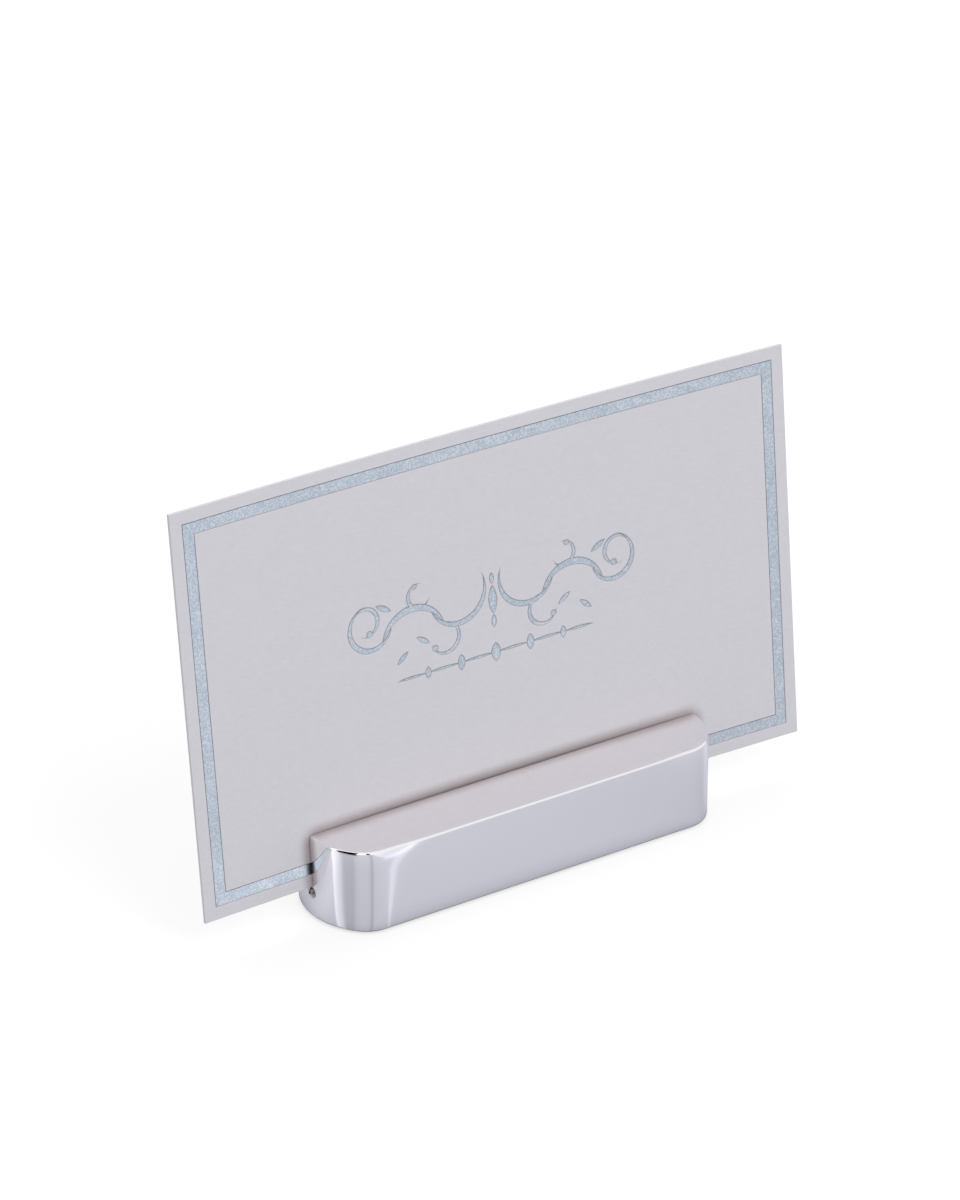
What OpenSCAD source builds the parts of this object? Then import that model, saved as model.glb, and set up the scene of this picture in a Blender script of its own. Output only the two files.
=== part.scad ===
// Place card holder: a polished metal bar with a slanted slot along its top,
// a soft pad under it, and a bowed paper card with pressed foil standing in the slot.
// Millimetres. The origin is the middle of the face it stands on, +X runs along
// the bar, +Y points to the back, where the card leans, and +Z is up.

/* [Metal block] */
// Length of the block, end to end
block_l = 58.5; // [50:0.5:80]
// Depth of the block, front to back
block_d = 16.6; // [14:0.2:22]
// Height of the metal, without the pad's proud part
block_h = 11.35; // [10:0.05:16]
// Radius of the four upright corners, seen from above
corner_r = 4.6; // [3:0.1:5.8]
// Length of each bowed end, from where the straight side stops
end_l = 6.05; // [5.9:0.05:8]
// Rounding along the polished top and bottom edges
edge_r = 0.3; // [0.1:0.05:0.6]

/* [Card slot] */
// Depth of the slot along its slant, from the top face to the middle of the channel
slot_depth = 7.9; // [6:0.1:9]
// Lean of the slot from upright, in degrees
slot_lean = 6.5; // [0:0.5:12]
// Gap that the bowed card keeps to each wall of the slot
grip_clearance = 0.07; // [0.03:0.01:0.15]
// Diameter of the round channel along the foot of the slot
channel_d = 1.7; // [1.3:0.1:3]

/* [Base pad] */
// Thickness of the pad under the block
pad_t = 0.8; // [0.5:0.05:1.5]
// How far the pad stands out below the metal
pad_proud = 0.25; // [0.1:0.05:0.4]
// Bare metal rim round the recess of the pad
pad_margin = 1.3; // [0.8:0.1:3]
// Gap between the pad and the wall of its recess
pad_clearance = 0.1; // [0.05:0.05:0.3]

/* [Place card] */
// Width of the card, measured along its curve
card_w = 90; // [70:1:120]
// Height of the card
card_h = 54; // [40:1:70]
// Thickness of the paper
card_t = 0.4; // [0.2:0.05:0.6]
// How far the middle of the card bows back from its two sides
card_bow = 1; // [0.4:0.1:2]
// Height of the card's lower edge above the middle of the channel
foot_gap = 0.85; // [0:0.05:3]

/* [Foil] */
// Bare paper between the card's edge and the foil frame
frame_margin = 1.75; // [1:0.25:6]
// Width of the foil frame's band
frame_band = 1.5; // [0.5:0.1:4]
// How deep the foil is pressed into the paper
press_depth = 0.06; // [0.05:0.01:0.12]
// Thickness of the foil
foil_t = 0.03; // [0.02:0.005:0.04]
// Width of the foil ornament
ornament_w = 43; // [30:1:60]
// Height of the ornament's middle above the card's lower edge
ornament_rise = 30; // [22:0.5:36]

/* [Hidden] */
$fn = 96;
// Facets of a full turn at the radius of the bowed card
bow_fn = 2880;
// How far a cutting shape runs past what it cuts
overrun = 1;

// Seen from above, each end is a wide arc between two corner arcs that touch it
half_d = block_d / 2;
corner_y = half_d - corner_r;
end_arc_r = (corner_y * corner_y + end_l * end_l - corner_r * corner_r) / (2 * (end_l - corner_r));
end_arc_x = block_l / 2 - end_arc_r;
corner_x = block_l / 2 - end_l;
end_turn = atan2(corner_y, corner_x - end_arc_x);
// The bar and the end sectors are this much slimmer than the corner discs, so that
// their surfaces cross where the discs would only touch them
touch_relief = 0.01;

// The slot's middle plane meets the block's middle plane at half the slot's depth
top_z = pad_proud + block_h;
foot_y = -slot_depth / 2 * sin(slot_lean);
foot_z = top_z - slot_depth * cos(slot_lean);

// The card's front is an arc over its width, so its rise over the block's length
// and the paper's thickness make up the slot, with a gap at each wall
bend_r = card_w * card_w / (8 * card_bow) + card_bow / 2;
block_sag = bend_r - sqrt(bend_r * bend_r - block_l * block_l / 4);
slot_w = card_t + block_sag + 2 * grip_clearance;
card_front_y = slot_w / 2 - grip_clearance - card_t;
foil_back = press_depth;
foil_front = press_depth - foil_t;

// The ornament is laid out in shares of its width, from its middle, for its right half.
// Each scroll touches the one before it: a centre is found by a reach and a turn.
function beside(c, reach, turn) = [c[0] + reach * cos(turn), c[1] + reach * sin(turn)];
// Opening of a crescent, as a share of its swell, for half the turn that it covers
function opening_share(span) = (1 + cos(span)) / (1 - cos(span));

inner_r_share = 0.088;
arch_r_share = 0.098;
outer_r_share = 0.066;
curl_r_share = 0.040;
tendril_r_share = 0.044;
sprout_r_share = 0.034;
inner_share = [0.118, 0.062];
arch_share = beside(inner_share, inner_r_share + arch_r_share, -32);
outer_share = beside(arch_share, arch_r_share + outer_r_share, 27);
curl_share = beside(outer_share, outer_r_share - curl_r_share, 62);
tendril_share = beside(inner_share, inner_r_share + tendril_r_share, -68);
sprout_share = beside(arch_share, arch_r_share + sprout_r_share, 100);

// Scrolls: centre, radius and swell as shares, then half span and turn in degrees
scroll_shares = [
    [inner_share, inner_r_share, 0.015, 84, 250],
    [arch_share, arch_r_share, 0.019, 69, 88],
    [outer_share, outer_r_share, 0.014, 110, 308],
    [curl_share, curl_r_share, 0.010, 112, 150],
    [tendril_share, tendril_r_share, 0.010, 105, 220],
    [sprout_share, sprout_r_share, 0.009, 100, 330],
];
// Round ends of the three small scrolls: centre and radius as shares
ball_shares = [
    [beside(curl_share, curl_r_share, 255), 0.0085],
    [beside(tendril_share, tendril_r_share, 330), 0.0080],
    [beside(sprout_share, sprout_r_share, 72), 0.0070],
];
// Leaves: centre, length and width as shares, then their turn in degrees
leaf_shares = [
    [[0.372, 0.088], 0.052, 0.014, 30],
    [[0.245, -0.045], 0.046, 0.012, 35],
    [[0.318, -0.082], 0.045, 0.012, -40],
];
// Leaves on the middle line: height of the centre, length and width as shares
stem_shares = [[0.015, 0.085, 0.026], [-0.052, 0.036, 0.014], [0.082, 0.030, 0.012]];
// The rule below the scrolls: its height, then beads and dashes by place, length and width
rule_y_share = -0.150;
bead_shares = [[0, 0.056, 0.028], [0.12, 0.046, 0.022], [0.235, 0.034, 0.016]];
dash_shares = [[0.06, 0.085, 0.006], [0.18, 0.090, 0.006], [0.290, 0.080, 0.006]];

// Upright section of the block out to a reach, with both outer edges rounded
module edge_section(reach, height, edge) {
    square([reach - edge, height]);
    translate([0, edge])
        square([reach, height - 2 * edge]);
    for (z = [edge, height - edge])
        translate([reach - edge, z])
            circle(edge);
}

// Block before its cuts: a straight bar, a disc at each corner, and at each end
// the sector of a wide disc that lies between its two corners
module rounded_outline_solid(height, edge) {
    rotate([90, 0, 90])
        linear_extrude(2 * corner_x, center = true)
            for (side = [0, 1])
                mirror([side, 0])
                    edge_section(half_d - touch_relief, height, edge);
    for (end = [0, 1])
        mirror([end, 0, 0]) {
            translate([end_arc_x, 0, 0])
                rotate_extrude(angle = 2 * end_turn, start = -end_turn)
                    edge_section(end_arc_r - touch_relief, height, edge);
            for (side = [-1, 1])
                translate([corner_x, side * corner_y, 0])
                    rotate_extrude()
                        edge_section(corner_r, height, edge);
        }
}

// Solid of the same outline with square edges, drawn in by an inset, for the pad
// and its recess
module plain_outline_solid(inset, height) {
    linear_extrude(height) {
        square([2 * corner_x, 2 * (half_d - inset)], center = true);
        for (end = [0, 1])
            mirror([end, 0]) {
                intersection() {
                    translate([end_arc_x, 0])
                        circle(end_arc_r - inset);
                    end_wedge();
                }
                for (side = [-1, 1])
                    translate([corner_x, side * corner_y])
                        circle(corner_r - inset);
            }
    }
}

// Wedge from the end arc's centre through the two corner centres, past the end
module end_wedge() {
    reach = end_arc_r + overrun;
    rise = reach * tan(end_turn);
    polygon([[end_arc_x, 0], [end_arc_x + reach, -rise], [end_arc_x + reach, rise]]);
}

// Children stand in the slot's own frame: its foot is the origin, +Z up the slant
module in_slot() {
    translate([0, foot_y, foot_z])
        rotate([-slot_lean, 0, 0])
            children();
}

// Slanted slot with the round channel along its foot, open at both ends
module slot_cut() {
    cut_l = block_l + 2 * overrun;
    translate([-cut_l / 2, -slot_w / 2, 0])
        cube([cut_l, slot_w, slot_depth + overrun]);
    rotate([0, 90, 0])
        cylinder(d = channel_d, h = cut_l, center = true);
}

// Part of the bowed card: a centred width, between two heights and two depths
// below its front face
module bowed_sheet(width, low, high, front, back) {
    turn = width / bend_r * 180 / PI;
    translate([0, card_front_y - bend_r, foot_gap])
        rotate_extrude(angle = turn, start = 90 - turn / 2, $fn = bow_fn)
            translate([bend_r + front, low])
                square([back - front, high - low]);
}

// Frame-shaped band of the bowed card, between two depths below its front face
module bowed_band(front, back) {
    inner = frame_margin + frame_band;
    difference() {
        bowed_sheet(card_w - 2 * frame_margin, frame_margin, card_h - frame_margin, front, back);
        bowed_sheet(card_w - 2 * inner, inner, card_h - inner, front - overrun, back + overrun);
    }
}

// Crescent stroke: one circle less another that is shifted away from the thick side
module crescent(r, swell, span, turn) {
    opening = swell * opening_share(span);
    shift = (swell + opening) / 2;
    rotate([0, 0, turn])
        difference() {
            circle(r + swell / 2);
            translate([-shift, 0])
                circle(r + opening / 2);
        }
}

// Leaf with two pointed tips: the overlap of two equal circles
module leaf(length, width) {
    r = (length * length + width * width) / (4 * width);
    intersection() {
        translate([0, r - width / 2])
            circle(r);
        translate([0, width / 2 - r])
            circle(r);
    }
}

// Flat drawing of the whole ornament, from its middle
module ornament_drawing() {
    for (side = [0, 1])
        mirror([side, 0]) {
            for (s = scroll_shares)
                translate(ornament_w * s[0])
                    crescent(ornament_w * s[1], ornament_w * s[2], s[3], s[4]);
            for (b = ball_shares)
                translate(ornament_w * b[0])
                    circle(ornament_w * b[1]);
            for (l = leaf_shares)
                translate(ornament_w * l[0])
                    rotate([0, 0, l[3]])
                        leaf(ornament_w * l[1], ornament_w * l[2]);
            for (b = bead_shares)
                translate(ornament_w * [b[0], rule_y_share])
                    rotate([0, 0, 90])
                        leaf(ornament_w * b[1], ornament_w * b[2]);
            for (d = dash_shares)
                translate(ornament_w * [d[0], rule_y_share])
                    leaf(ornament_w * d[1], ornament_w * d[2]);
        }
    for (s = stem_shares)
        translate([0, ornament_w * s[0]])
            rotate([0, 0, 90])
                leaf(ornament_w * s[1], ornament_w * s[2]);
}

// The drawing carried through the bowed card, between two depths below its front face
module ornament_relief(front, back) {
    intersection() {
        translate([0, card_front_y + card_t, foot_gap + ornament_rise])
            rotate([90, 0, 0])
                linear_extrude(card_t + card_bow + overrun)
                    ornament_drawing();
        bowed_sheet(card_w - 2 * frame_margin, frame_margin, card_h - frame_margin, front, back);
    }
}

// Solid metal bar with the slot across its top and the recess of the pad below
module holder_block() {
    color("silver")
        difference() {
            translate([0, 0, pad_proud])
                rounded_outline_solid(block_h, edge_r);
            in_slot()
                slot_cut();
            translate([0, 0, pad_proud - overrun])
                plain_outline_solid(pad_margin, pad_t - pad_proud + overrun);
        }
}

// Soft pad glued into the recess, which the holder stands on
module base_pad() {
    color("dimgray")
        plain_outline_solid(pad_margin + pad_clearance, pad_t);
}

// Bowed paper card with the foil's places pressed into its front
module place_card() {
    color("gainsboro")
        in_slot()
            difference() {
                bowed_sheet(card_w, 0, card_h, 0, card_t);
                bowed_band(-overrun, press_depth);
                ornament_relief(-overrun, press_depth);
            }
}

// Foil band that lies in its pressed groove along the four sides of the card
module foil_frame() {
    color("lightsteelblue")
        in_slot()
            bowed_band(foil_front, foil_back);
}

// Foil scrolls, leaves and rule that lie in their pressed places
module foil_ornament() {
    color("lightslategray")
        in_slot()
            ornament_relief(foil_front, foil_back);
}

holder_block();
base_pad();
place_card();
foil_frame();
foil_ornament();
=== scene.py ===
"""Place card holder with a bowed paper card: its finishes and its studio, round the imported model.

Lengths are metres in the part's own frame. The origin is the middle of the face that the holder
stands on, +X runs along the block, +Y points to the back, where the card leans, and +Z is up.
"""
import math
from collections import namedtuple

import bpy
import numpy as np
from bpy.props import FloatProperty, FloatVectorProperty, PointerProperty
from bpy.types import Operator, Panel, PropertyGroup
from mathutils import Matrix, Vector


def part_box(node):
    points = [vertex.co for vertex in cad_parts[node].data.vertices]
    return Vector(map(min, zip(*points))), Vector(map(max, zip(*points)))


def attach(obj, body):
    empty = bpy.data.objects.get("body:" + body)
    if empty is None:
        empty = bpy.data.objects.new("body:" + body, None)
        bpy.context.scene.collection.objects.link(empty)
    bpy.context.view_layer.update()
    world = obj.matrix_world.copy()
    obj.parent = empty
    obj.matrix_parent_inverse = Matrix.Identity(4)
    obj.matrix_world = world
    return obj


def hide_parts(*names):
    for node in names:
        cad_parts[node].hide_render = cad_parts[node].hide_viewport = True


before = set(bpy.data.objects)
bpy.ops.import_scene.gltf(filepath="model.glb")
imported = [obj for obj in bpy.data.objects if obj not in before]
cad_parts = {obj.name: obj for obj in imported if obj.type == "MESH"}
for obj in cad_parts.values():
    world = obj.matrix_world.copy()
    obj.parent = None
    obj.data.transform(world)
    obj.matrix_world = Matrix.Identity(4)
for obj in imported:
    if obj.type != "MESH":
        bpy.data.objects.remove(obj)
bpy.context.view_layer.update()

bl_info = {
    "name": "Place Card Holder",
    "version": (1, 0, 0),
    "blender": (4, 5, 0),
    "location": "View3D > Sidebar > Card Holder",
    "description": "Builds a polished slotted block with a foil-pressed place card, and its studio",
    "category": "Add Mesh",
}

MM = 0.001
BLOCK_LOW, BLOCK_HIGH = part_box("holder_block")
PAD_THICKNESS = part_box("base_pad")[1].z

# Steps of the block's grid: along half an end arc, a corner arc and a long side, up a rounded
# edge, the plain wall, the channel and the slot; and steps along each side of the foil frame
END_STEPS, CORNER_STEPS, SIDE_STEPS = 40, 44, 60
EDGE_STEPS, WALL_STEPS, CHANNEL_STEPS, SLOT_STEPS = 12, 6, 14, 30
BAND_STEPS = 60
# Points closer than this are one vertex
WELD = 1e-8
UP = np.array([0.0, 0.0, 1.0])
# Share of the worn reach that is left towards the ends
END_REACH = 0.6
# How far the card's fine grid reaches from the ornament's middle: to each side, down and up, as
# shares of the ornament's width
FINE_SIDE, FINE_DOWN, FINE_UP = 0.505, 0.185, 0.17


def length(name, millimetres, description):
    """A length property, whose default is given in millimetres."""
    return FloatProperty(
        name=name,
        description=description,
        default=millimetres * MM,
        min=0.0,
        precision=5,
        unit="LENGTH",
        subtype="DISTANCE",
    )


def angle(name, degrees, description):
    """An angle property, whose default is given in degrees."""
    return FloatProperty(
        name=name,
        description=description,
        default=math.radians(degrees),
        unit="ROTATION",
        subtype="ANGLE",
    )


def number(name, value, description):
    """A plain number property."""
    return FloatProperty(name=name, description=description, default=value, precision=4)


def colour(name, value, description):
    """A linear colour property."""
    return FloatVectorProperty(
        name=name, description=description, default=value, min=0.0, max=1.0, size=3, subtype="COLOR"
    )


def point(name, millimetres, description):
    """A place property, whose default is given in millimetres."""
    return FloatVectorProperty(
        name=name,
        description=description,
        default=[value * MM for value in millimetres],
        size=len(millimetres),
        precision=5,
        unit="LENGTH",
        subtype="XYZ",
    )


class BlockSizes(PropertyGroup):
    """Sizes of the metal block, its slot and its pad."""

    block_length: length("Length", (BLOCK_HIGH.x - BLOCK_LOW.x) / MM, "Length of the block")
    depth: length("Depth", (BLOCK_HIGH.y - BLOCK_LOW.y) / MM, "Depth of the block")
    foot: length("Foot height", BLOCK_LOW.z / MM, "Height of the metal's underside above the table")
    top: length("Top height", BLOCK_HIGH.z / MM, "Height of the top face above the table")
    corner_radius: length("Corner radius", 4.6, "Radius of the four upright corners")
    end_length: length("End length", 6.05, "Length of each bowed end, from the straight side")
    edge_radius: length("Edge radius", 0.3, "Rounding along the top and bottom edges")
    worn_height: length("Worn height", 3.0, "Height of wall that polishing drew in at each end")
    worn_depth: length("Worn depth", 0.32, "How far polishing drew the top in at each end")
    worn_reach: length("Worn reach", 7, "How far from each corner's arc the wear dies away")
    end_wear_share: number("End wear share", 0.45, "Share of that wear left across the ends")
    worn_side_share: number("Side wear share", 0.05, "Share of that wear left along the sides")
    slot_depth: length("Slot depth", 7.9, "Depth of the slot to the middle of its channel")
    slot_lean: angle("Slot lean", 6.5, "Lean of the slot and the card from upright")
    grip_clearance: length("Grip clearance", 0.07, "Gap between the bowed card and each wall")
    channel_diameter: length("Channel diameter", 1.7, "Round channel along the slot's foot")
    pad_thickness: length("Pad thickness", PAD_THICKNESS / MM, "Thickness of the pad")
    pad_margin: length("Pad margin", 1.3, "Metal rim round the pad's recess")
    pad_clearance: length("Pad clearance", 0.1, "Gap between the pad and its recess")
    pad_edge: length("Pad edge", 0.12, "Rounding of the pad's lower edge")


class CardSizes(PropertyGroup):
    """Sizes of the bowed card and of the foil that is pressed into it."""

    width: length("Width", 90, "Width of the card along its curve")
    height: length("Height", 54, "Height of the card")
    thickness: length("Thickness", 0.4, "Thickness of the paper")
    bow: length("Bow", 1, "How far the middle bows back from the sides")
    foot_gap: length("Foot gap", 0.85, "Height of the card's foot above the channel's middle")
    cut_edge: length("Cut edge", 0.05, "Softening along the cut edges of the paper")
    press_depth: length("Press depth", 0.06, "How deep the foil is pressed in")
    press_room: length("Press room", 0.003, "Gap between the foil's back and the paper")
    press_shoulder: length("Press shoulder", 0.12, "Width of the slope round pressed places")
    foil_thickness: length("Foil thickness", 0.03, "Thickness of the foil")
    frame_margin: length("Frame margin", 1.75, "Bare paper outside the foil frame")
    frame_band: length("Frame band", 1.5, "Width of the foil frame")
    ornament_width: length("Ornament width", 43, "Width of the foil ornament")
    ornament_rise: length("Ornament rise", 30, "Height of its middle above the card's foot")
    fine_pitch: length("Fine pitch", 0.1, "Spacing of the paper's grid round the ornament")


class Finishes(PropertyGroup):
    """Colours of the finishes, as linear values."""

    metal: colour("Metal", (0.995, 0.962, 0.972), "Polished nickel")
    paper: colour("Paper", (0.592, 0.578, 0.608), "Cool grey card")
    paper_fibre: colour("Paper fibre", (0.540, 0.526, 0.555), "Fibres in the card")
    # Painted shade of the pressed shoulders, not a colour of the paper
    paper_painted_shade: colour("Pressed paper", (0.230, 0.250, 0.300), "Paper burnished by the die")
    foil: colour("Foil", (0.430, 0.508, 0.574), "Pale blue metal foil, where it is dull")
    # Painted glints: the foil's bright flecks as a lighter colour
    foil_glint: colour("Foil glints", (0.735, 0.755, 0.792), "The foil's bright flecks")
    felt: colour("Felt", (0.030, 0.030, 0.034), "Dark felt")
    felt_fibre: colour("Felt fibre", (0.075, 0.074, 0.080), "Lighter fibres of the felt")


class Studio(PropertyGroup):
    """Camera, lamps and floor."""

    camera_turn: angle("Camera turn", -32.837, "Turn of the camera from straight in front")
    camera_rise: angle("Camera rise", 27.575, "Height of the camera above the horizon")
    camera_distance: length("Camera distance", 635.06, "From the camera to its target")
    camera_target: point("Camera target", (3.786, 11.970, 30.042), "Middle of the camera's view")
    lens: number("Lens", 149.52, "Focal length for a 36 mm tall frame, in millimetres")
    floor_size: length("Floor size", 6000, "Side of the square floor")
    floor_colour: colour("Floor", (0.491, 0.508, 0.562), "Floor, as the object mirrors it")
    streak_centre: point("Streak centre", (24.7, 5.6), "Where the floor's streaks meet")
    sky_strength: number("Sky strength", 0.88, "Level of the soft light from all round")
    back_strength: number("Back lamp", 2.4, "Power of the lamp behind the card, in watts")
    front_strength: number("Front lamp", 4.2, "Power of the lamp in front of the card, in watts")


class CardHolderSettings(PropertyGroup):
    """All settings of the place card holder."""

    block: PointerProperty(type=BlockSizes)
    card: PointerProperty(type=CardSizes)
    finish: PointerProperty(type=Finishes)
    studio: PointerProperty(type=Studio)


def settings():
    """The scene's own settings."""
    return bpy.context.scene.card_holder


# Meshes: each piece is a list of patches, and a patch is a set of points with their normals
# and the faces between them

Patch = namedtuple("Patch", "points normals faces")


def grid_patch(points, normals):
    """Quads between neighbouring rows and columns of an array of points."""
    rows, columns = points.shape[:2]
    corner = (np.arange(rows - 1)[:, None] * columns + np.arange(columns - 1)).ravel()
    quads = np.stack([corner, corner + 1, corner + columns + 1, corner + columns], axis=1)
    normals = np.broadcast_to(normals, points.shape)
    return Patch(points.reshape(-1, 3), normals.reshape(-1, 3), quads)


def polygon_patch(points, normal):
    """One flat face through points in order."""
    return Patch(points, np.tile(normal, (len(points), 1)), np.arange(len(points))[None])


def grid_normals(points, towards):
    """Unit cross products of the differences along rows and columns, on the side of a vector."""
    cross = np.cross(np.gradient(points, axis=0), np.gradient(points, axis=1))
    cross /= np.linalg.norm(cross, axis=2, keepdims=True)
    return cross * np.sign(np.sum(cross * np.asarray(towards)))


def facing(patch):
    """Faces of a patch, each turned so that its own normal agrees with its points' normals.

    A face's normal is half the sum of the cross products of its neighbouring corners.
    """
    corners = patch.points[patch.faces]
    corners = corners - corners[:, :1]
    own = np.cross(corners, np.roll(corners, -1, axis=1)).sum(axis=1)
    wanted = patch.normals[patch.faces].sum(axis=1)
    turned = np.sum(own * wanted, axis=1) < 0
    return np.where(turned[:, None], patch.faces[:, ::-1], patch.faces)


def placed(name, data):
    """A new object in the scene."""
    item = bpy.data.objects.new(name, data)
    bpy.context.scene.collection.objects.link(item)
    return item


def make_piece(name, patches, material, body, replaced, mark=None):
    """A closed mesh from patches: equal points become one vertex, and every corner keeps its
    own normal, so that flat faces stay flat beside rounded ones. A mark is a name and the
    values of a vertex attribute for the first patch's points; elsewhere it is 0."""
    points = np.concatenate([p.points for p in patches])
    normals = np.concatenate([p.normals for p in patches])
    starts = np.cumsum([0] + [len(p.points) for p in patches[:-1]])
    faces = [facing(p) + start for p, start in zip(patches, starts)]
    _, first, vertex = np.unique(
        np.round(points / WELD).astype(np.int64), axis=0, return_index=True, return_inverse=True
    )
    vertex = vertex.ravel()
    corners = np.concatenate([f.ravel() for f in faces])
    totals = np.concatenate([np.full(len(f), f.shape[1]) for f in faces])

    mesh = bpy.data.meshes.new(name)
    mesh.vertices.add(len(first))
    mesh.vertices.foreach_set("co", points[first].astype(np.float32).ravel())
    mesh.loops.add(len(corners))
    mesh.loops.foreach_set("vertex_index", vertex[corners].astype(np.int32))
    mesh.polygons.add(len(totals))
    mesh.polygons.foreach_set("loop_start", (np.cumsum(totals) - totals).astype(np.int32))
    mesh.update(calc_edges=True)
    mesh.polygons.foreach_set("use_smooth", np.ones(len(totals), bool))
    mesh.normals_split_custom_set(normals[corners])
    mesh.materials.append(material)
    if mark:
        values = np.zeros(len(points), np.float32)
        values[: mark[1].size] = mark[1].ravel()
        mesh.attributes.new(mark[0], "FLOAT", "POINT").data.foreach_set("value", values[first])

    piece = placed(name, mesh)
    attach(piece, body)
    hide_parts(replaced)


# The block's outline, seen from above

Plan = namedtuple("Plan", "half_depth corner_x corner_y corner_r end_x end_r end_turn")
Columns = namedtuple("Columns", "sign_x centre_x centre_y radius turn mouth_share run")
Rows = namedtuple("Rows", "z tilt inset worn worn_slope mouth_y channel_from slot_from")


def block_plan(b):
    """Centres and radii of the outline: each end is a wide arc between two corner arcs that
    touch it, so the three centres lie on one line through each touching point."""
    half_depth = b.depth / 2
    half_length = b.block_length / 2
    corner_y = half_depth - b.corner_radius
    end_r = (corner_y**2 + b.end_length**2 - b.corner_radius**2) / (
        2 * (b.end_length - b.corner_radius)
    )
    end_x = half_length - end_r
    corner_x = half_length - b.end_length
    end_turn = math.atan2(corner_y, corner_x - end_x)
    return Plan(half_depth, corner_x, corner_y, b.corner_radius, end_x, end_r, end_turn)


def long_side_columns(plan, side):
    """Columns of half the outline, from the slot's left mouth round one long side to its right
    mouth. Each holds the centre, radius and turn of its point, how much of its turn still
    follows the slot's mouth, and how far it runs along the outline from the end arc."""
    share = np.linspace(1, 0, END_STEPS + 1)
    turn = np.linspace(plan.end_turn, math.pi / 2, CORNER_STEPS + 1)[1:]
    side_x = np.linspace(-plan.corner_x, plan.corner_x, SIDE_STEPS + 1)[1:-1]
    ends, corners, flat = np.ones(len(share)), np.ones(len(turn)), np.ones(len(side_x))
    arcs = len(share) + len(turn)
    centre_x = np.r_[plan.end_x * ends, plan.corner_x * corners]
    centre_y = np.r_[0 * ends, plan.corner_y * corners]
    radius = np.r_[plan.end_r * ends, plan.corner_r * corners]
    arc_turn = np.r_[plan.end_turn * ends, turn]
    arc_share = np.r_[share, 0 * corners]
    end_run = -share * plan.end_turn * plan.end_r
    arc_run = np.r_[end_run, (turn - plan.end_turn) * plan.corner_r]
    side_run = arc_run[-1] + plan.corner_x - np.abs(side_x)
    return Columns(
        sign_x=np.r_[-np.ones(arcs), np.where(side_x < 0, -1, 1), np.ones(arcs)],
        centre_x=np.r_[-centre_x, side_x, centre_x[::-1]],
        centre_y=side * np.r_[centre_y, plan.corner_y * flat, centre_y[::-1]],
        radius=np.r_[radius, plan.corner_r * flat, radius[::-1]],
        turn=np.r_[arc_turn, math.pi / 2 * flat, arc_turn[::-1]],
        mouth_share=np.r_[arc_share, 0 * flat, arc_share[::-1]],
        run=np.r_[arc_run, side_run, arc_run[::-1]],
    )


def outline_points(plan, columns, side, inset, mouth_y):
    """Points of the outline drawn in by an inset, and their outward directions and turns.

    A point is its arc's centre plus the radius, less the inset, along its direction. The end
    arc starts where its height above the middle line equals the slot's mouth.
    """
    mouth = np.arcsin(side * mouth_y / (plan.end_r - inset[:, 0]))[:, None]
    turn = columns.turn * (1 - columns.mouth_share) + mouth * columns.mouth_share
    outward = np.stack([columns.sign_x * np.cos(turn), side * np.sin(turn)], axis=-1)
    centre = np.stack([columns.centre_x, columns.centre_y], axis=-1)
    reach = (columns.radius - inset)[..., None]
    return centre + reach * outward, outward, turn


def slot_frame(b):
    """Foot of the slot: its middle plane meets the block's middle at half the slot's depth."""
    foot_y = -b.slot_depth / 2 * math.sin(b.slot_lean)
    foot_z = b.top - b.slot_depth * math.cos(b.slot_lean)
    return foot_y, foot_z


def bend_radius(c):
    """Radius of the bowed card: a circle through both sides whose middle lies the bow back."""
    return c.width**2 / (8 * c.bow) + c.bow / 2


def slot_width(b, c):
    """Paper, the rise of its bow over the block's length, and a gap at each wall."""
    r = bend_radius(c)
    return c.thickness + r - math.sqrt(r**2 - b.block_length**2 / 4) + 2 * b.grip_clearance


def wall_rows(b, c, side):
    """Rows of the wall from the rounded lower edge to the rounded upper one, with the slot's
    mouth at each: below the channel it is the channel's middle, then the channel's circle, and
    above it the leaning wall of the slot."""
    foot_y, foot_z = slot_frame(b)
    rho, half_w = b.channel_diameter / 2, slot_width(b, c) / 2
    lean = b.slot_lean
    rise = math.sqrt(rho**2 - half_w**2)
    join_y = side * half_w * math.cos(lean) + rise * math.sin(lean)
    join_z = -side * half_w * math.sin(lean) + rise * math.cos(lean)
    join_turn = math.atan2(join_z, side * join_y)

    quarter = np.linspace(0, math.pi / 2, EDGE_STEPS + 1)
    wall_z = np.linspace(b.foot + b.edge_radius, foot_z - rho, WALL_STEPS + 1)[1:]
    channel_turn = np.linspace(-math.pi / 2, join_turn, CHANNEL_STEPS + 1)[1:]
    slot_z = np.linspace(foot_z + join_z, b.top - b.edge_radius, SLOT_STEPS + 1)[1:]
    z = np.r_[
        b.foot + b.edge_radius * (1 - np.sin(quarter[::-1])),
        wall_z,
        foot_z + rho * np.sin(channel_turn),
        slot_z,
        b.top - b.edge_radius * (1 - np.sin(quarter[1:])),
    ]
    middle = len(wall_z) + len(channel_turn) + len(slot_z)
    tilt = np.r_[-quarter[::-1], np.zeros(middle), quarter[1:]]
    plain = len(quarter) + len(wall_z)
    slot_from = plain + len(channel_turn) - 1
    mouth_y = np.r_[
        np.full(plain, foot_y),
        foot_y + side * rho * np.cos(channel_turn),
        foot_y + join_y + (z[slot_from + 1 :] - foot_z - join_z) * math.tan(lean),
    ]
    worn = np.clip((z - b.top) / b.worn_height + 1, 0, None)
    return Rows(
        z=z,
        tilt=tilt,
        inset=b.edge_radius * (1 - np.cos(tilt)),
        worn=worn**3,
        worn_slope=3 * worn**2 / b.worn_height,
        mouth_y=mouth_y,
        channel_from=plain - 1,
        slot_from=slot_from,
    )


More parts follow.
